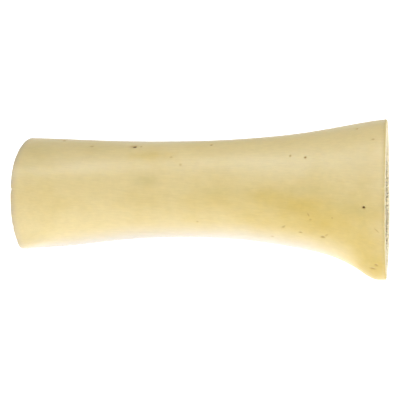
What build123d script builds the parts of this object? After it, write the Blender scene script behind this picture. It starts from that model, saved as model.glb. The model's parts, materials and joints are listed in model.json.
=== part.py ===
"""A cut length of cleaned leg bone: a hollow shaft that flares towards one end, sawn across at both ends.

The bone is drawn along +X in its own frame, from the narrow cut at x = 0 to the flared cut at x = LENGTH, with
+Z up and -Y towards the front. It is then laid down as it rests, on the lowest points of its two end rims, and
centred over the origin. All sizes are in millimetres.
"""

from build123d import *

import os
from math import atan2, cos, degrees, radians, sin

from scipy.interpolate import CubicSpline

LENGTH = 155.0  # between the two cuts, along the marrow axis
SAW_TILT = 0.5  # degrees that the flared cut is off square, with the front the shorter side
SECTION_STEP = 5.0  # distance between the sections that each surface is drawn through
RIM_ROUND = 0.8  # rounding of the outer edge of each cut

# Distance along the bone: distances from the marrow axis to the outer surface, one every 45 degrees,
# as back, upper back, top, upper front, front, lower front, bottom, lower back.
OUTSIDE = {
    0: (20.5, 24.0, 23.5, 28.5, 30.0, 26.0, 23.0, 25.5),
    28: (20.5, 22.5, 22.5, 23.0, 22.5, 23.0, 22.0, 22.0),
    62: (19.5, 20.5, 22.5, 20.5, 21.0, 20.5, 17.0, 19.0),
    96: (20.0, 22.0, 23.0, 21.0, 21.5, 21.5, 18.5, 20.0),
    122: (23.0, 25.0, 25.0, 23.0, 24.5, 25.5, 22.5, 24.0),
    138: (26.0, 28.0, 27.0, 25.0, 26.5, 30.5, 27.5, 29.0),
    149: (30.0, 30.0, 28.5, 25.5, 29.0, 36.5, 35.0, 37.0),
    155: (30.0, 31.0, 28.5, 25.5, 30.0, 37.5, 35.5, 39.0),
}

# Distance along the bone: thickness of the dense outer wall, which thins where the bone flares.
WALL = {0: 5.5, 28: 7.0, 62: 8.0, 96: 7.5, 122: 5.5, 138: 4.2, 155: 3.5}

# Distance along the bone: thickness of the spongy bone that lines the wall behind each cut.
NARROW_LINING = {0: 2.5, 15: 1.5, 30: 1.0}
FLARED_LINING = {120: 1.5, 138: 5.5, 160: 10.5}


def smooth(table):
    """A smooth curve through the entries of a table of distances along the bone."""
    return CubicSpline(list(table), list(table.values()))


outside_at = smooth(OUTSIDE)
wall_at = smooth(WALL)


def sawn(solid):
    """The solid with everything past the flared cut taken off."""
    reach = 400.0
    block = Pos(LENGTH, 0, 0) * Rot(0, 0, -SAW_TILT) * Pos(-reach / 2, 0, 0) * Box(reach, reach, reach)
    return solid & block


def section(x, inset):
    """The bone's closed outline at x, drawn in from the outer surface by inset."""
    points = []
    for step, radius in enumerate(outside_at(x)):
        angle = radians(45 * step)
        points.append((x, (radius - inset) * cos(angle), (radius - inset) * sin(angle)))
    return Wire([Edge.make_spline(points, periodic=True, parameters=range(len(points) + 1))])


def loft_along(start, end, inset_at):
    """A solid from start to end along the bone, drawn in from the outer surface by inset_at and sawn off."""
    steps = round((end - start) / SECTION_STEP)
    places = [start + step * SECTION_STEP for step in range(steps + 1)]
    return sawn(Solid.make_loft([section(x, inset_at(x)) for x in places]))


def bone_form():
    """The outer form, solid through, with the outer edge of each cut rounded."""
    form = loft_along(0, LENGTH + SECTION_STEP, lambda x: 0.0)
    cuts = form.faces().filter_by(GeomType.PLANE)
    return form.fillet(RIM_ROUND, cuts.edges())


def spongy_bone(cavity, lining):
    """The spongy bone that lines the wall over the given places, with the marrow bore open through it."""
    start, end = min(lining), max(lining)
    reach = 120.0
    filled = cavity & Pos((start + end) / 2, 0, 0) * Box(end - start, reach, reach)
    thickness_at = smooth(lining)
    return filled - loft_along(start, end, lambda x: wall_at(x) + thickness_at(x))


def lowest_at(x):
    """How far below the axis the outline at x reaches."""
    return -section(x, 0.0).bounding_box().min.Z


cavity = loft_along(0, LENGTH + SECTION_STEP, wall_at)
pieces = {
    "compact_bone": bone_form() - cavity,
    "spongy_bone_narrow_end": spongy_bone(cavity, NARROW_LINING),
    "spongy_bone_flared_end": spongy_bone(cavity, FLARED_LINING),
}

pitch = degrees(atan2(lowest_at(LENGTH) - lowest_at(0), LENGTH))
laid_down = {name: Rot(0, -pitch, 0) * piece for name, piece in pieces.items()}
box = laid_down["compact_bone"].bounding_box()
to_origin = Pos(-box.center().X, -box.center().Y, -box.min.Z)

os.makedirs("parts", exist_ok=True)
for name, piece in laid_down.items():
    placed = to_origin * piece
    placed.label = name
    export_step(placed, f"parts/{name}.step")
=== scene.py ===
"""A hollow cut length of cleaned leg bone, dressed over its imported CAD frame.

The look is worked out in the bone's own terms: a place along the marrow axis from the narrow cut, an angle
round the axis, from the back at 0 degrees over the top at 90 to the front at 180, and a radius. The outer
surface, the cavity and the two spongy linings are sampled from the CAD's nodes, built again as fine closed
meshes, and given relief, pits, pores and stains. Lengths are in millimetres unless a comment says otherwise.
"""

import json
import math

import bmesh
import bpy
import numpy as np
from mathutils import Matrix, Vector, noise
from mathutils.bvhtree import BVHTree


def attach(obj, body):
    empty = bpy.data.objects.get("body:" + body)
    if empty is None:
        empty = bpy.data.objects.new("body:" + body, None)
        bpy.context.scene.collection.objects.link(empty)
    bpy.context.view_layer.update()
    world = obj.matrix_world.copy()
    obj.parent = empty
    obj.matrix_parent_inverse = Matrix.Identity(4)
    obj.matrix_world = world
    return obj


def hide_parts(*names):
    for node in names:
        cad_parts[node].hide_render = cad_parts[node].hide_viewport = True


MM = 0.001
FULL_TURN = 2 * math.pi

# The bone: its length between the cuts, how far the marrow axis lies below the mount of the narrow cut, the
# rounding of the outer edge of each cut, and where the two spongy linings end inside the bone.
LENGTH = 155.0
AXIS_BELOW_MOUNT = 20.75
RIM_ROUND = 0.8
NARROW_LINING_END = 30.0
FLARED_LINING_START = 120.0

# Sampling of the CAD's surfaces: how far the samples keep clear of an end, and how far out rays start.
CLEAR_OF_END = 1.5
FAR_OUT = 90.0

# Mesh of the compact bone: rows along the outside, round a rim, across a cut and along the bore, and points
# in a row.
OUTER_ROWS = 190
RIM_ROWS = 6
CUT_ROWS = 12
INNER_ROWS = 80
AROUND = 260

# Mesh of a spongy lining: spacing of the rows on the cut and in the bore, hidden rows, and points in a row.
FACE_SPACING = 0.30
BORE_SPACING = 0.48
HIDDEN_ROWS = 10
SPONGY_AROUND = 380

# A spongy lining: how far it runs into the wall, how far its face lies below the cut, and the length over
# which it tapers out.
WALL_OVERLAP = 0.25
FACE_RECESS = 0.02
TAPER = 9.0

# Pores of the spongy bone: depth of the deepest, bone left behind them, and size of the large and the small
# cells.
PORE_DEPTH = 1.7
PORE_FLOOR = 0.3
LARGE_CELLS = 2.0
SMALL_CELLS = 1.10

# How far in from the narrow cut the worn rim's colour reaches, how far in from the flared cut a painted
# shade line reaches, and over what length the bore's relief fades in.
NARROW_RIM_REACH = 1.7
FLARED_RIM_REACH = 1.1
BORE_FADE = 12

# Soft patches on the outside: place along the bone, angle round it in degrees, reach along the bone, spread
# round it in degrees, and strength. A swell's strength is its height, and a negative one makes a hollow.
SWELLS = [
    (2, 206, 8, 10, 1.15),
    (4, 234, 10, 14, -0.30),
    (156, 230, 4, 26, -0.60),
    (149, 226, 3, 24, 0.20),
    (142, 222, 4, 24, -0.35),
    (34, 235, 20, 25, -0.35),
]
GOLDEN_PATCHES = [
    (108, 178, 26, 24, 0.42),
    (132, 184, 18, 26, 0.55),
    (150, 202, 10, 22, 0.50),
    (152, 226, 8, 18, 1.00),
    (148, 222, 6, 12, 0.50),
    (70, 168, 30, 14, 0.06),
    (40, 165, 26, 12, 0.12),
    (80, 160, 11, 10, 0.28),
    (57, 108, 10, 6, 0.38),
    (150, 112, 6, 6, 0.22),
    (104, 155, 11, 9, 0.24),
    (119, 164, 10, 10, 0.30),
    (139, 196, 8, 14, 0.14),
    (142, 170, 9, 10, 0.32),
]
# The pale patches are a painted soft highlight along the upper side.
HIGHLIGHT_PATCHES = [
    (110, 120, 24, 14, 0.40),
    (138, 124, 14, 12, 0.14),
    (80, 122, 14, 10, 0.12),
    (55, 83, 17, 9, 0.65),
    (19, 121, 8, 8, 0.12),
    (120, 131, 8, 8, 0.12),
    (154, 147, 5, 9, 0.18),
    (30, 121, 18, 12, 0.30),
]
GREEN_PATCHES = [
    (56, 138, 5, 7, 0.8),
    (88, 150, 14, 6, 0.4),
    (124, 150, 12, 5, 0.5),
    (144, 168, 6, 5, 0.6),
    (6, 100, 8, 14, 0.5),
    (7, 131, 6, 9, 0.5),
    (34, 96, 12, 8, 0.4),
    (155, 177, 0.8, 11, 1.0),
    (137, 162, 7, 7, 0.45),
]
# These patches are painted shade, darker than the bone around them.
SHADE_PATCHES = [
    (5, 196, 8, 12, 0.5),
    (149, 222, 8, 14, 0.8),
    (145, 122, 7, 15, 0.35),
]

# Small blood-vessel holes and nicks: place along the bone, angle round it in degrees, half length, half
# width, depth, how dark from 0 to 1, in a tan stain and a brown core that is partly painted shade, and the
# turn of its length away from the bone's in degrees.
PITS = [
    (49.5, 93, 0.80, 0.58, 0.70, 1.00, 0),
    (49.0, 93, 1.70, 1.10, 0.05, 0.30, 0),
    (52.2, 93, 0.50, 0.40, 0.30, 0.40, 0),
    (30.8, 92, 0.90, 0.60, 0.20, 0.30, 0),
    (82.2, 91, 0.65, 0.50, 0.30, 0.42, 0),
    (65.8, 109, 0.60, 0.35, 0.15, 0.16, 0),
    (70.0, 119, 0.60, 0.50, 0.15, 0.20, 0),
    (116.0, 112, 0.40, 0.50, 0.25, 0.35, 0),
    (122.3, 115, 0.50, 0.40, 0.40, 0.55, 0),
    (146.4, 165, 0.52, 0.42, 0.80, 1.00, 0),
    (113.2, 189, 0.90, 0.35, 0.25, 0.36, -40),
    (120.2, 194, 0.70, 0.35, 0.20, 0.35, 0),
    (129.4, 197, 0.80, 0.45, 0.35, 0.42, 0),
    (131.0, 194, 0.80, 0.25, 0.20, 0.30, -30),
    (123.8, 174, 0.70, 0.30, 0.20, 0.30, 60),
    (124.6, 179, 0.50, 0.35, 0.20, 0.25, -30),
    (133.5, 176, 0.35, 0.30, 0.20, 0.30, 0),
    (77.0, 188, 0.40, 0.35, 0.20, 0.25, 0),
    (108.0, 205, 0.70, 0.45, 0.20, 0.25, 0),
    (149.8, 101, 0.60, 0.40, 0.20, 0.30, 0),
    (17.2, 75, 0.80, 0.60, 0.30, 0.50, 0),
    (149.5, 215, 1.20, 0.40, 0.30, 0.45, -10),
    (151.0, 211, 0.60, 0.50, 0.30, 0.40, 0),
    (151.5, 183, 1.20, 0.16, 0.10, 0.35, 40),
    (60.0, 32, 0.80, 0.50, 0.70, 0.90, 0),
    (97.0, 352, 0.60, 0.45, 0.50, 0.70, 0),
    (98.6, 354, 0.40, 0.35, 0.30, 0.50, 0),
    (38.0, 322, 0.50, 0.40, 0.40, 0.50, 0),
    (128.0, 20, 0.70, 0.50, 0.50, 0.70, 20),
    (140.0, 48, 0.50, 0.50, 0.50, 0.60, 0),
    (137.0, 330, 0.90, 0.60, 0.60, 0.70, -20),
    (141.0, 300, 0.60, 0.40, 0.40, 0.60, 0),
    (146.0, 270, 0.70, 0.50, 0.50, 0.70, 0),
    (133.0, 262, 0.50, 0.45, 0.40, 0.50, 0),
    (74.0, 262, 1.60, 0.80, 1.20, 1.00, 0),
    (22.0, 250, 0.60, 0.40, 0.30, 0.50, 0),
    (143.0, 84, 0.50, 0.40, 0.40, 0.50, 0),
]
# Round each pit: how far out the faces are made finer, in how many cuts, and how near the surface a point
# has to lie to be pressed in.
PIT_REACH = 1.9
PIT_REFINING = 3
PIT_LAYER = 2.5

# Colours of the outside, the cuts, the spongy bone, the bore and the pits, as linear red, green and blue.
IVORY = (0.86, 0.70, 0.335)
GOLDEN = (0.73, 0.535, 0.12)
# Paler, greyer tone painted as a soft highlight.
PAINTED_HIGHLIGHT = (0.90, 0.79, 0.50)
GREEN_STAIN = (0.62, 0.52, 0.20)
# Whiter, washed-out tone painted on the underside as light from the glowing floor.
PAINTED_UNDERSIDE_LIGHT = (0.71, 0.645, 0.55)
WORN_RIM = (0.56, 0.48, 0.36)
CUT_BONE = (0.88, 0.77, 0.48)
CUT_STAIN = (0.74, 0.60, 0.30)
# Darker edge tone: painted shade along the outside by the flared cut, and a darker outer edge on the cuts.
CUT_EDGE = (0.64, 0.52, 0.25)
SPONGY_STRUT = (0.95, 0.85, 0.58)
# Colour of pores and small holes: marrow stain and painted shade.
PORE_STAIN_AND_SHADE = (0.78, 0.63, 0.36)
# Sawn bone dust and painted light at the bore's mouth.
DUST_AND_PAINTED_LIGHT = (0.97, 0.91, 0.72)
BORE_TAN = (0.84, 0.70, 0.43)
BORE_STAIN = (0.66, 0.48, 0.22)
PIT_TAN = (0.50, 0.31, 0.075)
# Dark core of pits and holes: a brown stain and painted shade of the hole.
PIT_STAIN_AND_SHADE = (0.075, 0.04, 0.013)

# How far red, green and blue light goes through bone, in metres, and the gloss of sawn and spongy bone.
SCATTERING = (0.0030, 0.0018, 0.0008)
SAWN_GLOSS = 0.15

# The white surround: how strongly it and the floor glow, and the floor's half width in metres. For each
# lamp: its place, the place it faces, its width and height, all in metres, and its power in watts.
SURROUND_GLOW = 0.31
FLOOR_GLOW = 1.4
FLOOR_HALF = 6.0
LAMPS = {
    "overhead": ((0.0, -0.12, 0.85), (0, 0, 0.03), (0.6, 0.3), 3.5),
    "flared_side": ((0.50, 0.0, 0.035), (0.075, 0, 0.03), (0.06, 0.05), 0.45),
}

# The camera: the place it looks at in metres, azimuth and elevation in degrees, distance in metres, and the
# focal length and width of sensor in millimetres.
CAMERA_TARGET = (-0.002521, 0.000304, 0.025270)
CAMERA_AZIMUTH = 7.89
CAMERA_ELEVATION = 30.0
CAMERA_DISTANCE = 0.6
CAMERA_LENS = 125.47
CAMERA_SENSOR = 36


def ramp(values, low, high):
    """Values eased from 0 at low to 1 at high."""
    t = np.clip((np.asarray(values, float) - low) / (high - low), 0, 1)
    return t * t * (3 - 2 * t)


def bell(distance, reach):
    """A bell curve: 1 at no distance, about a third at the reach, and almost 0 at twice the reach."""
    return np.exp(-((distance / reach) ** 2))


def patches(x, angle, table):
    """The summed soft patches of a table at places along and round the bone."""
    total = np.zeros(len(x))
    degrees = np.degrees(angle)
    for place, centre, reach, spread, strength in table:
        turn = (degrees - centre + 180) % 360 - 180
        total += strength * bell(x - place, reach) * bell(turn, spread)
    return total


def grid_noise(points, scale, seed):
    """Smooth noise from -1 to 1 at points, with features about scale across."""
    offset = Vector((seed * 7.3, seed * 3.1, seed * 5.7))
    return np.array([noise.noise(Vector(p) / scale + offset) for p in points])


def cell_openness(points, size, seed):
    """How open spongy bone with cells about size across is at each point: 0 in a strut, 1 in a cell."""
    bent = points + np.stack([grid_noise(points, size * 1.3, seed + k) for k in range(3)], -1) * size * 0.5
    offset = Vector((seed * 5.1, seed * 2.3, seed * 8.9))
    openness = np.empty(len(points))
    for index, point in enumerate(bent / size):
        nearest, second = noise.voronoi(Vector(point) + offset)[0][:2]
        openness[index] = second - nearest
    return openness


def ring_angles(count):
    """The angles of the points of one ring."""
    return np.linspace(0, FULL_TURN, count, endpoint=False)


def ring_faces(rows, around):
    """Faces that join each ring of points to the next, and the last ring to the first."""
    faces = []
    for row in range(rows):
        low = row * around
        high = (row + 1) % rows * around
        for k in range(around):
            after = (k + 1) % around
            faces.append((low + k, low + after, high + after, high + k))
    return faces


class BoneFrame:
    """Turns places along and angles round the bone into points of the part's frame, in metres."""

    def __init__(self, record):
        mounts = {mount["name"]: mount for mount in record["mounts"]}
        narrow, flared = mounts["narrow_end_face"], mounts["flared_end_face"]
        self.along = -np.array(narrow["axis"])
        self.side = np.array((0.0, 1.0, 0.0))
        self.up = np.cross(self.along, self.side)
        self.start = np.array(narrow["pos_m"]) - self.up * AXIS_BELOW_MOUNT * MM
        facing = np.array(flared["axis"])
        self.cut_slope = -(facing @ self.side) / (facing @ self.along)

    def direction(self, angle):
        """The way out from the axis at an angle."""
        return np.cos(angle)[..., None] * self.side + np.sin(angle)[..., None] * self.up

    def point(self, x, radius, angle):
        """The point at a place along the axis, a radius and an angle."""
        x = np.asarray(x, float)[..., None]
        radius = np.asarray(radius, float)[..., None]
        return self.start + (x * self.along + radius * self.direction(np.asarray(angle, float))) * MM

    def flared_cut(self, radius, angle):
        """The place along the bone at which the slightly slanted flared cut is met."""
        return LENGTH + radius * np.cos(angle) * self.cut_slope


def tree_of(node):
    """A ray-casting tree of a CAD node, whose vertices are already in the part's frame."""
    mesh = node.data
    vertices = [vertex.co.copy() for vertex in mesh.vertices]
    return BVHTree.FromPolygons(vertices, [tuple(polygon.vertices) for polygon in mesh.polygons])


def sampled_radius(tree, bone, places, angles, from_outside):
    """Radius of the surface that a ray meets at each place and angle, from far outside or from the axis."""
    radii = np.zeros((len(places), len(angles)))
    for row, x in enumerate(places):
        for column, angle in enumerate(angles):
            outward = bone.direction(np.asarray(angle))
            start = bone.point(x, FAR_OUT if from_outside else 0.0, angle)
            ray = -outward if from_outside else outward
            distance = tree.ray_cast(Vector(start), Vector(ray))[3] / MM
            radii[row, column] = FAR_OUT - distance if from_outside else distance
    return radii


def blur_kernel(sigma):
    """Weights of a Gaussian blur, and how many values it reaches to each side."""
    reach = int(3 * sigma) + 1
    weights = np.exp(-0.5 * (np.arange(-reach, reach + 1) / sigma) ** 2)
    return weights / weights.sum(), reach


def smoothed(radii, along_sigma, around_sigma):
    """The radii with the CAD mesh's facets blurred away: sigmas are in rows and columns."""
    weights, reach = blur_kernel(around_sigma)
    wrapped = np.concatenate([radii[:, -reach:], radii, radii[:, :reach]], axis=1)
    radii = np.array([np.convolve(row, weights, mode="valid") for row in wrapped])
    weights, reach = blur_kernel(along_sigma)
    before = [2 * radii[0] - radii[i] for i in range(reach, 0, -1)]
    after = [2 * radii[-1] - radii[-1 - i] for i in range(1, reach + 1)]
    padded = np.concatenate([before, radii, after], axis=0)
    return np.array([np.convolve(column, weights, mode="valid") for column in padded.T]).T


def cubic_weights(t):
    """Weights of the four values around a place a fraction t past the second one."""
    return np.stack([
        (-t**3 + 2 * t**2 - t) / 2,
        (3 * t**3 - 5 * t**2 + 2) / 2,
        (-3 * t**3 + 4 * t**2 + t) / 2,
        (t**3 - t**2) / 2,
    ])


class RadiusField:
    """The radius of a CAD node's outer or inner surface, as a smooth function of place and angle."""

    STEP = 1.0  # distance between the sampled rows
    COLUMNS = 180  # samples in a row
    MARGIN = 5  # rows added past each end, in line with the last two
    ALONG_BLUR = 1.2  # blur along the bone, in rows
    AROUND_BLUR = 1.5  # blur round it, in samples

    def __init__(self, node, bone, start, end, from_outside):
        places = np.arange(start + CLEAR_OF_END, end - CLEAR_OF_END + self.STEP / 2, self.STEP)
        self.first = places[0] - self.MARGIN * self.STEP
        radii = sampled_radius(tree_of(node), bone, places, ring_angles(self.COLUMNS), from_outside)
        radii = smoothed(radii, self.ALONG_BLUR, self.AROUND_BLUR)
        before = [radii[0] - (radii[1] - radii[0]) * k for k in range(self.MARGIN, 0, -1)]
        after = [radii[-1] + (radii[-1] - radii[-2]) * k for k in range(1, self.MARGIN + 1)]
        self.radii = np.concatenate([before, radii, after])

    def __call__(self, x, angle):
        x, angle = np.broadcast_arrays(np.asarray(x, float), np.asarray(angle, float))
        row = np.clip((x - self.first) / self.STEP, 1, len(self.radii) - 2)
        low = np.clip(np.floor(row).astype(int), 1, len(self.radii) - 3)
        column = angle / FULL_TURN * self.COLUMNS
        left = np.floor(column).astype(int)
        row_weights = cubic_weights(row - low)
        column_weights = cubic_weights(column - left)
        total = np.zeros(x.shape)
        for i in range(4):
            for j in range(4):
                value = self.radii[low + i - 1, (left + j - 1) % self.COLUMNS]
                total += row_weights[i] * column_weights[j] * value
        return total


class Wall:
    """The outer and the inner surface of the compact bone."""

    def __init__(self, node, bone):
        self.outside = RadiusField(node, bone, 0, LENGTH, from_outside=True)
        self.inside = RadiusField(node, bone, 0, LENGTH, from_outside=False)


def mesh_object(name, points, faces, materials, face_materials, masks):
    """A smooth-shaded mesh object whose point masks are attributes that the materials can read."""
    mesh = bpy.data.meshes.new(name)
    mesh.from_pydata(points.tolist(), [], faces)
    mesh.update()
    for material in materials:
        mesh.materials.append(material)
    mesh.polygons.foreach_set("material_index", face_materials)
    mesh.polygons.foreach_set("use_smooth", [True] * len(faces))
    for mask_name, values in masks.items():
        attribute = mesh.attributes.new(mask_name, "FLOAT", "POINT")
        attribute.data.foreach_set("value", np.asarray(values, np.float32))
    piece = bpy.data.objects.new(name, mesh)
    bpy.context.collection.objects.link(piece)
    return piece


def outside_relief(points, x, angle):
    """How far the outer surface stands out from the CAD's: a slow unevenness drawn out along the bone."""
    stretched = points / np.array((3.0, 1.0, 1.0))
    uneven = 0.10 * grid_noise(stretched, 9.0, 1) + 0.03 * grid_noise(stretched, 3.0, 2)
    return uneven + patches(x, angle, SWELLS)


def bore_relief(points):
    """How far the bore's wall stands out from the CAD's: low ridges left by the marrow's net of bone."""
    stretched = points / np.array((1.8, 1.0, 1.0))
    ridges = 1 - np.abs(grid_noise(stretched, 3.2, 21)) * 3
    uneven = 0.35 * grid_noise(stretched, 8.0, 20) + 0.06 * grid_noise(points, 1.2, 22)
    return uneven - 0.30 * np.clip(ridges, 0, 1)


def saw_relief(points, bone):
    """How far a cut stands out from its plane: shallow saw marks that lean 20 degrees from level."""
    across = points @ bone.up * 0.94 + points @ bone.side * 0.34
    marks = np.sin(across * FULL_TURN / 2.3 + 1.5 * np.sin(across * 0.7))
    return 0.035 * marks + 0.03 * grid_noise(points, 1.5, 24) - 0.02


def rim_rounding(angles):
    """How far each outer edge is worn round at each angle: uneven, with a few small chips.

    The noise is read round a wide circle, so that it meets itself.
    """
    circle = np.stack([60 * np.cos(angles), 60 * np.sin(angles), 0 * angles], -1)
    waves = grid_noise(circle, 5.0, 3)
    chips = np.clip(grid_noise(circle, 3.5, 11) - 0.32, 0, 1)
    return RIM_ROUND * (0.85 + 0.35 * waves + 3.0 * chips)


def underside(angle, first, full):
    """How far each angle lies underneath: from 0 at first to 1 at full, in degrees, and back to 0 behind."""
    degrees = np.degrees(angle) % 360
    return ramp(degrees, first, full) * (1 - ramp(degrees, 300, 335))


def painted_underside_light(x, angle):
    """Where a painted highlight makes the bone whiter underneath, from 0 to 1: all along it but for the
    flare.
    """
    first = 191 - 9 * ramp(x, 15, 60) + 6 * ramp(x, 95, 125)
    return underside(angle, first, first + 45) * (1 - ramp(x, 118, 146))


def painted_shade(x, angle):
    """Where painted shade darkens the bone, from 0 to 1: under the narrow end and in a few patches."""
    under_narrow_end = underside(angle, 194, 226) * (1 - ramp(x, 45, 95))
    return np.clip(under_narrow_end + patches(x, angle, SHADE_PATCHES), 0, 1)


def compact_bone_rings(wall, bone):
    """The dense tube's rings of points, in order: outside, flared rim and cut, bore and narrow cut.

    A ring is its kind, its places along the bone, its radii, and how far across the wall it lies, 0 to 1.
    """
    angles = ring_angles(AROUND)
    rings = []

    def add(kind, x, radius, across=0.0):
        x = np.broadcast_to(x, angles.shape).astype(float)
        rings.append((kind, x, radius, np.full(AROUND, across)))

    end = bone.flared_cut(wall.outside(LENGTH, angles), angles)
    worn = rim_rounding(angles)
    turns = np.linspace(0, math.pi / 2, RIM_ROWS)
    for turn in turns[:-1]:
        x = worn * (1 - math.cos(turn))
        add("outside", x, wall.outside(x, angles) - worn * (1 - math.sin(turn)))
    for t in np.linspace(0, 1, OUTER_ROWS):
        x = worn + t * (end - 2 * worn)
        add("outside", x, wall.outside(x, angles))
    for turn in turns[::-1][1:]:
        x = end - worn * (1 - math.cos(turn))
        add("rim", x, wall.outside(x, angles) - worn * (1 - math.sin(turn)))

    outer_edge = rings[-1][2]
    inner_edge = wall.inside(LENGTH, angles)
    for t in np.linspace(0, 1, CUT_ROWS)[1:]:
        radius = outer_edge * (1 - t) + inner_edge * t
        add("cut", bone.flared_cut(radius, angles), radius, t)

    inner_end = rings[-1][1]
    for t in np.linspace(1, 0, INNER_ROWS)[1:]:
        add("bore", t * inner_end, wall.inside(t * inner_end, angles))

    outer_edge = rings[0][2]
    inner_edge = rings[-1][2]
    for t in np.linspace(0, 1, CUT_ROWS)[1:-1]:
        add("cut", 0.0, inner_edge * (1 - t) + outer_edge * t, 1 - t)
    return rings


def compact_bone_piece(wall, bone, materials):
    """The dense tube as one closed mesh, with its relief and the masks that its materials read."""
    rings = compact_bone_rings(wall, bone)
    ring_kinds = [ring[0] for ring in rings]
    kinds = np.repeat(ring_kinds, AROUND)
    x, radius, across = (np.concatenate([ring[part] for ring in rings]) for part in (1, 2, 3))
    angle = np.tile(ring_angles(AROUND), len(rings))
    points = bone.point(x, radius, angle)

    relief = np.zeros(len(points))
    outside = np.isin(kinds, ("outside", "rim"))
    relief[outside] = outside_relief(points[outside] / MM, x[outside], angle[outside])
    bore = kinds == "bore"
    deep_inside = np.clip(np.minimum(x[bore], LENGTH - x[bore]) / BORE_FADE, 0, 1)
    relief[bore] = deep_inside * bore_relief(points[bore] / MM)
    points = points + bone.direction(angle) * relief[:, None] * MM
    cut = kinds == "cut"
    facing = np.where(x[cut] > LENGTH / 2, 1.0, -1.0)
    points[cut] += np.outer(facing * saw_relief(points[cut] / MM, bone) * MM, bone.along)

    masks = {
        "golden": np.clip(patches(x, angle, GOLDEN_PATCHES), 0, 1),
        # Painted soft highlight along the upper side.
        "pale": np.clip(patches(x, angle, HIGHLIGHT_PATCHES), 0, 1),
        "green": np.clip(patches(x, angle, GREEN_PATCHES), 0, 1),
        # Painted light: the underside whiter.
        "painted_underside_light": painted_underside_light(x, angle),
        # Painted shade.
        "painted_shade": painted_shade(x, angle),
        "rim": 1.2 * bell(x, NARROW_RIM_REACH),
        # Painted shade line at the flared rim.
        "flared_rim": bell(LENGTH - x, FLARED_RIM_REACH),
        "across": across,
        "pit": np.zeros(len(points)),
    }
    slots = {"outside": 0, "rim": 1, "cut": 2, "bore": 3}
    face_materials = []
    for kind, following in zip(ring_kinds, ring_kinds[1:] + ring_kinds[:1]):
        between = "cut" if "cut" in (kind, following) else following
        face_materials += [slots[between]] * AROUND
    faces = ring_faces(len(rings), AROUND)
    return mesh_object("bone_wall", points, faces, materials, face_materials, masks)


def vertex_points(mesh):
    """The mesh's points as rows of an array."""
    points = np.empty(len(mesh.vertices) * 3)
    mesh.vertices.foreach_get("co", points)
    return points.reshape(-1, 3)


def refine_near(piece, centres, reach):
    """Divides the faces near the given places more finely, so that small holes can be shaped in them."""
    points = vertex_points(piece.data)
    ends = np.empty(len(piece.data.edges) * 2, int)
    piece.data.edges.foreach_get("vertices", ends)
    middles = points[ends.reshape(-1, 2)].mean(axis=1)
    close = np.zeros(len(middles), bool)
    for centre in centres:
        close |= np.linalg.norm(middles - centre, axis=1) < reach
    mesh = bmesh.new()
    mesh.from_mesh(piece.data)
    mesh.edges.ensure_lookup_table()
    edges = [mesh.edges[i] for i in np.flatnonzero(close)]
    bmesh.ops.subdivide_edges(mesh, edges=edges, cuts=PIT_REFINING, use_grid_fill=True)
    mesh.to_mesh(piece.data)
    mesh.free()


def sink_pits(piece, bone, wall):
    """Presses the pits into the outside and writes the mask that darkens them."""
    centres = []
    for x, degrees, *_ in PITS:
        angle = math.radians(degrees)
        centres.append(bone.point(x, float(wall.outside(x, angle)), angle))
    refine_near(piece, centres, PIT_REACH * MM)
    mesh = piece.data
    points = vertex_points(mesh)
    darkness = np.zeros(len(points))
    for (_, degrees, length, width, depth, dark, turn), centre in zip(PITS, centres):
        outward = bone.direction(np.asarray(math.radians(degrees)))
        offset = (points - centre) / MM
        lengthwise = offset @ bone.along
        crosswise = offset @ np.cross(bone.along, outward)
        turned = math.radians(turn)
        a = lengthwise * math.cos(turned) + crosswise * math.sin(turned)
        b = -lengthwise * math.sin(turned) + crosswise * math.cos(turned)
        # An oval with steeper sides than a bell curve's, so that the hole has an edge.
        shape = np.exp(-(((a / length) ** 2 + (b / width) ** 2) ** 1.25))
        shape[np.abs(offset @ outward) > PIT_LAYER] = 0
        points -= np.outer(shape * depth * MM, outward)
        darkness = np.maximum(darkness, np.clip(shape * 1.2, 0, 1) * dark)
    mesh.vertices.foreach_set("co", points.ravel())
    mesh.attributes["pit"].data.foreach_set("value", darkness.astype(np.float32))
    mesh.update()


def lining_rings(wall, lining, bone, start, at_flared_end):
    """A spongy lining's rings of points, in order: its back in the wall, its sawn face, and its bore.

    The lining runs from the cut to start. A ring is its kind, its places along the bone and its radii.
    """
    angles = ring_angles(SPONGY_AROUND)
    rings = []

    def cut_at(radius):
        return bone.flared_cut(radius, angles) if at_flared_end else np.zeros(SPONGY_AROUND)

    def back_at(x):
        return wall.inside(x, angles) + WALL_OVERLAP

    cut_place = LENGTH if at_flared_end else 0.0
    outer_edge = back_at(cut_place)
    bore_edge = lining(cut_place, angles)
    cut = cut_at(outer_edge)
    for t in np.linspace(0, 1, HIDDEN_ROWS):
        x = start + t * (cut - start)
        rings.append(("back", x, back_at(x)))

    face_rows = max(4, round(float(np.mean(outer_edge - bore_edge)) / FACE_SPACING))
    for t in np.linspace(0, 1, face_rows)[1:]:
        radius = outer_edge * (1 - t) + bore_edge * t
        rings.append(("face", cut_at(radius), radius))

    cut = rings[-1][1]
    reach = abs(float(np.mean(cut)) - start)
    for t in np.linspace(1, 0, round(reach / BORE_SPACING))[1:]:
        x = start + t * (cut - start)
        thickness = (back_at(x) - lining(x, angles)) * ramp(t * reach, 0, TAPER)
        rings.append(("bore", x, back_at(x) - thickness))
    return rings


def pore_pattern(points, from_wall):
    """How deep in a pore each point lies, from 0 in a strut to 1: small, shallow pores line the wall."""
    large = ramp(cell_openness(points, LARGE_CELLS, 3), 0.14, 0.36)
    small = ramp(cell_openness(points, SMALL_CELLS, 5), 0.16, 0.38)
    by_wall = 1 - ramp(from_wall, 0.4, 3.5)
    grown_shut = ramp(grid_noise(points, 4.0, 9), 0.30, 0.55)
    return np.maximum(large * (1 - by_wall), 0.60 * small * (1 - 0.75 * by_wall)) * (1 - 0.6 * grown_shut)


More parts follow.
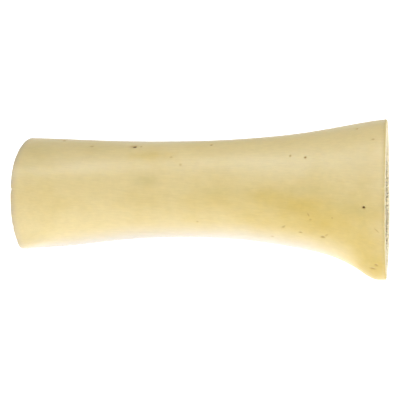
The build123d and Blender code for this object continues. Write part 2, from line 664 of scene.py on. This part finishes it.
def spongy_piece(name, wall, lining, bone, start, at_flared_end, material):
    """A spongy lining as one closed mesh: a porous sawn face, and a porous bore that tapers out inside."""
    rings = lining_rings(wall, lining, bone, start, at_flared_end)
    kinds = np.repeat([ring[0] for ring in rings], SPONGY_AROUND)
    x, radius = (np.concatenate([ring[part] for ring in rings]) for part in (1, 2))
    angle = np.tile(ring_angles(SPONGY_AROUND), len(rings))
    points = bone.point(x, radius, angle)
    visible = kinds != "back"
    spots = points[visible] / MM
    on_face = (kinds == "face").astype(float)
    in_bore = (kinds == "bore").astype(float)
    from_cut = np.abs(x - (LENGTH if at_flared_end else 0.0))
    inward = -1.0 if at_flared_end else 1.0

    to_wall = np.clip(wall.inside(x, angle) - radius, 0, None)
    deepest = np.clip(np.where(on_face > 0, np.abs(x - start), to_wall - PORE_FLOOR), 0, PORE_DEPTH)
    from_wall = np.where(on_face > 0, to_wall, np.inf)
    hollow = np.zeros(len(points))
    hollow[visible] = pore_pattern(spots, from_wall[visible])
    bore_lip = in_bore * np.exp(-from_cut / 1.2)
    along = inward * ((on_face + bore_lip) * hollow * deepest + on_face * FACE_RECESS)
    sideways = in_bore * hollow * deepest * (0.35 + 0.65 * ramp(from_cut, 2, 7))

    lumps = np.zeros(len(points))
    lumps[visible] = grid_noise(spots, 5.0, 15) * 0.7 + grid_noise(spots, 1.6, 17) * 0.25
    lumps *= in_bore * np.clip(to_wall / 2.0, 0, 1)
    rough = np.zeros(len(points))
    rough[visible] = 0.05 * grid_noise(spots, 0.7, 19)
    points = points + np.outer(along * MM, bone.along)
    points = points + bone.direction(angle) * ((sideways + lumps + rough) * MM)[:, None]

    # At the bore's mouth the pores' painted shade is halved, and dust and painted light are laid on.
    mouth = in_bore * (1 - ramp(from_cut, 1, 6))
    masks = {"hollow": hollow * (1 - 0.5 * mouth), "mouth": mouth}
    faces = ring_faces(len(rings), SPONGY_AROUND)
    return mesh_object(name, points, faces, [material], [0] * len(faces), masks)


class Graph:
    """A new node material and short ways to add and join its nodes. Sizes of textures are in metres."""

    def __init__(self, name):
        self.material = bpy.data.materials.new(name)
        self.material.use_nodes = True
        self.nodes = self.material.node_tree.nodes
        self.links = self.material.node_tree.links
        self.shader = self.nodes["Principled BSDF"]

    def put(self, socket, value):
        """Links a socket to another node's output, or sets it to a value."""
        if isinstance(value, bpy.types.NodeSocket):
            self.links.new(value, socket)
        elif isinstance(value, tuple) and len(value) == 3 and socket.type == "RGBA":
            socket.default_value = (*value, 1)
        else:
            socket.default_value = value

    def put_all(self, node, inputs):
        """Links or sets the node's inputs. An underscore in a key stands for a space in an input's name."""
        for key, value in inputs.items():
            self.put(node.inputs[key.replace("_", " ")], value)

    def add(self, kind, settings=None, **inputs):
        """A new node with its settings and inputs."""
        node = self.nodes.new(kind)
        for key, value in (settings or {}).items():
            setattr(node, key, value)
        self.put_all(node, inputs)
        return node

    def shade(self, color, roughness, normal, scattered, **others):
        """Sets the shader's inputs, with part of the light scattered inside the bone."""
        self.put_all(self.shader, dict(Base_Color=color, Roughness=roughness, Normal=normal, **others))
        inside = dict(Subsurface_Weight=scattered, Subsurface_Radius=SCATTERING, Subsurface_Scale=1.0)
        self.put_all(self.shader, inside)

    def coordinates(self, stretch=(1, 1, 1), turn=(0, 0, 0)):
        """The part's own coordinates, scaled and turned for a texture."""
        place = self.add("ShaderNodeTexCoord").outputs["Object"]
        mapping = self.add("ShaderNodeMapping", Vector=place, Scale=stretch, Rotation=turn)
        return mapping.outputs["Vector"]

    def noise(self, vector, size, detail=3.0, roughness=0.55):
        """Noise from about 0.3 to 0.7 with features about size across."""
        shape = dict(Scale=1 / size, Detail=detail, Roughness=roughness)
        return self.add("ShaderNodeTexNoise", Vector=vector, **shape).outputs["Fac"]

    def spots(self, vector, size):
        """Distance to the nearest of scattered spots about size apart, as a fraction of size."""
        return self.add("ShaderNodeTexVoronoi", Vector=vector, Scale=1 / size).outputs["Distance"]

    def remap(self, value, low, high, to_low=0.0, to_high=1.0):
        """The value stretched from low..high to to_low..to_high, and held at the ends."""
        names = ("Value", "From Min", "From Max", "To Min", "To Max")
        node = self.nodes.new("ShaderNodeMapRange")
        for name, setting in zip(names, (value, low, high, to_low, to_high)):
            self.put(node.inputs[name], setting)
        return node.outputs["Result"]

    def math(self, operation, first, second):
        """The result of an operation on two values."""
        node = self.add("ShaderNodeMath", {"operation": operation})
        self.put(node.inputs[0], first)
        self.put(node.inputs[1], second)
        return node.outputs["Value"]

    def mask(self, name):
        """One of the mesh's point masks."""
        return self.add("ShaderNodeAttribute", {"attribute_name": name}).outputs["Fac"]

    def part_of(self, name, share):
        """A point mask times a share."""
        return self.math("MULTIPLY", self.mask(name), share)

    def blend(self, amount, first, second, way="MIX"):
        """The first colour, changed towards the second by an amount."""
        node = self.nodes.new("ShaderNodeMix")
        node.data_type = "RGBA"
        node.blend_type = way
        self.put(node.inputs[0], amount)
        self.put(node.inputs[6], first)
        self.put(node.inputs[7], second)
        return node.outputs[2]

    def shaded(self, color, lightness):
        """The colour made darker or lighter by a factor."""
        grey = self.add("ShaderNodeCombineColor", Red=lightness, Green=lightness, Blue=lightness)
        return self.blend(1.0, color, grey.outputs["Color"], "MULTIPLY")

    def bump(self, height, distance, strength, normal=None):
        """A fine relief of the given height, on top of another bump when there is one."""
        node = self.add("ShaderNodeBump", Height=height, Distance=distance, Strength=strength)
        if normal is not None:
            self.put(node.inputs["Normal"], normal)
        return node.outputs["Normal"]


def bone_outside_material(name, gloss, sheen):
    """Cleaned, slightly waxy bone: ivory with fat stains, fine grain and pits, and painted highlights and
    shade.
    """
    g = Graph(name)
    around = g.coordinates()
    along_grain = g.coordinates(stretch=(0.12, 1, 1))
    mottle = g.noise(around, 0.014)
    fine_mottle = g.noise(around, 0.003, 4.0)
    grain = g.noise(along_grain, 0.0007, 4.0, 0.65)

    mottled = g.math("MULTIPLY", g.math("SUBTRACT", mottle, 0.5), 0.9)
    golden = g.remap(g.math("ADD", g.mask("golden"), mottled), 0.0, 1.0)
    color = g.blend(golden, IVORY, GOLDEN)
    # Painted highlight: paler, greyer patches along the upper side.
    color = g.blend(g.mask("pale"), color, PAINTED_HIGHLIGHT)
    color = g.blend(g.part_of("green", 0.5), color, GREEN_STAIN)
    # Painted light: the underside whiter and washed out, as if lit by the glowing floor.
    color = g.blend(g.mask("painted_underside_light"), color, PAINTED_UNDERSIDE_LIGHT)
    # Painted shade: darker under the narrow end and in a few patches.
    color = g.shaded(color, g.remap(g.mask("painted_shade"), 0.0, 1.0, 1.0, 0.86))
    color = g.blend(g.part_of("rim", g.remap(fine_mottle, 0.3, 0.7, 0.35, 0.75)), color, WORN_RIM)
    # Painted shade: a dark line along the outside at the flared cut's rim.
    color = g.blend(g.part_of("flared_rim", 0.75), color, CUT_EDGE)
    color = g.shaded(color, g.remap(fine_mottle, 0.3, 0.7, 0.975, 1.02))
    color = g.shaded(color, g.remap(grain, 0.35, 0.65, 0.965, 1.02))
    # Pits: a tan stain, and a brown core that is partly painted shade of the hole.
    color = g.blend(g.remap(g.mask("pit"), 0.0, 0.6), color, PIT_TAN)
    color = g.blend(g.remap(g.mask("pit"), 0.35, 1.0), color, PIT_STAIN_AND_SHADE)

    bump = g.bump(grain, 0.00006, 0.5)
    bump = g.bump(fine_mottle, 0.00012, 0.3, bump)
    roughness = g.remap(fine_mottle, 0.3, 0.7, 0.36, 0.50)
    shine = dict(Specular_IOR_Level=gloss, Sheen_Weight=sheen, Sheen_Roughness=0.45)
    g.shade(color, roughness, bump, scattered=0.12, **shine)
    return g.material


def bone_cut_material():
    """Sawn dense bone: cream, darker towards its outer edge, with saw scratches and tiny vessel holes."""
    g = Graph("bone_cut")
    around = g.coordinates()
    saw = g.coordinates(stretch=(1, 0.05, 1), turn=(math.radians(20), 0, 0))
    mottle = g.noise(around, 0.006, 3.0)
    scratches = g.noise(saw, 0.00035, 3.0, 0.6)
    holes = g.remap(g.spots(around, 0.0007), 0.10, 0.26, 1.0, 0.0)
    holed_part = g.remap(g.math("ADD", g.mask("across"), g.math("SUBTRACT", mottle, 0.5)), 0.35, 0.95)
    holes = g.math("MULTIPLY", holes, holed_part)

    color = g.blend(g.remap(mottle, 0.42, 0.68, 0.0, 0.6), CUT_BONE, CUT_STAIN)
    # Darker towards the cut's outer edge.
    color = g.blend(g.remap(g.mask("across"), 0.0, 0.5, 0.85, 0.0), color, CUT_EDGE)
    color = g.blend(g.mask("green"), color, GREEN_STAIN)
    color = g.shaded(color, g.remap(scratches, 0.35, 0.65, 0.94, 1.03))
    # Tiny vessel holes, in the pores' colour: stain and painted shade.
    color = g.blend(g.math("MULTIPLY", holes, 0.7), color, PORE_STAIN_AND_SHADE)

    bump = g.bump(scratches, 0.00008, 0.6)
    bump = g.bump(g.math("SUBTRACT", 1.0, holes), 0.00020, 0.6, bump)
    roughness = g.remap(scratches, 0.35, 0.65, 0.52, 0.66)
    g.shade(color, roughness, bump, scattered=0.10, Specular_IOR_Level=SAWN_GLOSS)
    return g.material


def bone_bore_material():
    """The marrow bore's wall: tan, matte and uneven, with fat stains and small vessel holes."""
    g = Graph("bone_bore")
    around = g.coordinates()
    along_grain = g.coordinates(stretch=(0.25, 1, 1))
    mottle = g.noise(around, 0.009, 4.0)
    grain = g.noise(along_grain, 0.0012, 4.0, 0.6)
    holes = g.remap(g.spots(along_grain, 0.0022), 0.08, 0.20, 1.0, 0.0)

    color = g.blend(g.remap(mottle, 0.38, 0.66), BORE_TAN, BORE_STAIN)
    color = g.shaded(color, g.remap(grain, 0.3, 0.7, 0.88, 1.06))
    # Vessel holes: a brown stain and painted shade.
    color = g.blend(g.math("MULTIPLY", holes, 0.35), color, PIT_STAIN_AND_SHADE)

    bump = g.bump(grain, 0.00030, 0.7)
    bump = g.bump(g.math("SUBTRACT", 1.0, holes), 0.00030, 0.6, bump)
    g.shade(color, g.remap(grain, 0.3, 0.7, 0.55, 0.72), bump, scattered=0.10)
    return g.material


def spongy_material():
    """Spongy bone: cream struts round cells of marrow stain and painted shade, and dust and painted light at
    the bore's mouth.
    """
    g = Graph("spongy_bone")
    around = g.coordinates()
    mottle = g.noise(around, 0.007, 3.0)
    grain = g.noise(around, 0.0005, 4.0, 0.6)

    color = g.blend(g.remap(mottle, 0.40, 0.68, 0.0, 0.55), SPONGY_STRUT, BORE_TAN)
    # Pores: marrow stain and painted shade, darker deeper in a pore.
    color = g.blend(g.remap(g.mask("hollow"), 0.15, 1.0, 0.0, 0.70), color, PORE_STAIN_AND_SHADE)
    # Sawn bone dust and painted light at the bore's mouth.
    color = g.blend(g.part_of("mouth", 0.8), color, DUST_AND_PAINTED_LIGHT)
    color = g.shaded(color, g.remap(grain, 0.3, 0.7, 0.90, 1.06))

    bump = g.bump(grain, 0.00012, 0.7)
    roughness = g.remap(grain, 0.3, 0.7, 0.58, 0.74)
    g.shade(color, roughness, bump, scattered=0.12, Specular_IOR_Level=SAWN_GLOSS)
    return g.material


def area_light(name, place, target, size, power):
    """A rectangular softbox that faces its target."""
    light = bpy.data.lights.new(name, "AREA")
    light.shape = "RECTANGLE"
    light.size, light.size_y = size
    light.energy = power
    lamp = bpy.data.objects.new(name, light)
    lamp.location = place
    lamp.rotation_euler = (Vector(target) - Vector(place)).to_track_quat("-Z", "Y").to_euler()
    bpy.context.collection.objects.link(lamp)


def white_surround():
    """An even white light from all round the object."""
    world = bpy.data.worlds.new("studio")
    bpy.context.scene.world = world
    world.use_nodes = True
    background = world.node_tree.nodes["Background"]
    background.inputs["Color"].default_value = (1, 1, 1, 1)
    background.inputs["Strength"].default_value = SURROUND_GLOW


def white_floor():
    """A large pale floor that glows a little, like a light table."""
    mesh = bpy.data.meshes.new("floor")
    corners = [(-FLOOR_HALF, -FLOOR_HALF, 0), (FLOOR_HALF, -FLOOR_HALF, 0)]
    corners += [(FLOOR_HALF, FLOOR_HALF, 0), (-FLOOR_HALF, FLOOR_HALF, 0)]
    mesh.from_pydata(corners, [], [(0, 1, 2, 3)])
    material = bpy.data.materials.new("light_table")
    material.use_nodes = True
    shader = material.node_tree.nodes["Principled BSDF"]
    shader.inputs["Base Color"].default_value = (0.2, 0.2, 0.2, 1)
    shader.inputs["Roughness"].default_value = 1.0
    shader.inputs["Emission Color"].default_value = (1, 1, 1, 1)
    shader.inputs["Emission Strength"].default_value = FLOOR_GLOW
    mesh.materials.append(material)
    floor = bpy.data.objects.new("floor", mesh)
    bpy.context.collection.objects.link(floor)


def aimed_camera():
    """The scene's camera, level, looking at its target."""
    azimuth, elevation = math.radians(CAMERA_AZIMUTH), math.radians(CAMERA_ELEVATION)
    back = Vector((
        math.sin(azimuth) * math.cos(elevation),
        -math.cos(azimuth) * math.cos(elevation),
        math.sin(elevation),
    ))
    data = bpy.data.cameras.new("camera")
    data.lens = CAMERA_LENS
    data.sensor_width = CAMERA_SENSOR
    camera = bpy.data.objects.new("camera", data)
    camera.location = Vector(CAMERA_TARGET) + back * CAMERA_DISTANCE
    camera.rotation_euler = (-back).to_track_quat("-Z", "Y").to_euler()
    bpy.context.collection.objects.link(camera)
    bpy.context.scene.camera = camera


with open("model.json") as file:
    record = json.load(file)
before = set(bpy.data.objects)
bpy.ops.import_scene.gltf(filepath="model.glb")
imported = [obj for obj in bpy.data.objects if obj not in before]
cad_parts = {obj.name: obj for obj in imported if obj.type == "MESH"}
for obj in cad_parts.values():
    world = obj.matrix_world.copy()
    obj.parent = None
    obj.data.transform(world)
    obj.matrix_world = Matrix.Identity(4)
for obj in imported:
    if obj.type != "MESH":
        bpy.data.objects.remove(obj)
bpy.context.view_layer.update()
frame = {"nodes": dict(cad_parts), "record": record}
nodes = frame["nodes"]
bone = BoneFrame(frame["record"])
wall = Wall(nodes["compact_bone"], bone)

outside = bone_outside_material("bone_outside", gloss=0.5, sheen=0.4)
rim = bone_outside_material("bone_flared_rim", gloss=0.1, sheen=0.0)
wall_piece = compact_bone_piece(wall, bone, [outside, rim, bone_cut_material(), bone_bore_material()])
sink_pits(wall_piece, bone, wall)
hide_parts("compact_bone")
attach(wall_piece, "root")

spongy = spongy_material()
narrow_node = nodes["spongy_bone_narrow_end"]
narrow_lining = RadiusField(narrow_node, bone, 0, NARROW_LINING_END, from_outside=False)
narrow_piece = spongy_piece("spongy_narrow", wall, narrow_lining, bone, NARROW_LINING_END, False, spongy)
flared_node = nodes["spongy_bone_flared_end"]
flared_lining = RadiusField(flared_node, bone, FLARED_LINING_START, LENGTH, from_outside=False)
flared_piece = spongy_piece("spongy_flared", wall, flared_lining, bone, FLARED_LINING_START, True, spongy)
for piece, node in ((narrow_piece, "spongy_bone_narrow_end"), (flared_piece, "spongy_bone_flared_end")):
    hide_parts(node)
    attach(piece, "root")

white_floor()
white_surround()
bpy.context.scene.view_settings.view_transform = "Standard"
for lamp_name, settings in LAMPS.items():
    area_light(lamp_name, *settings)
aimed_camera()
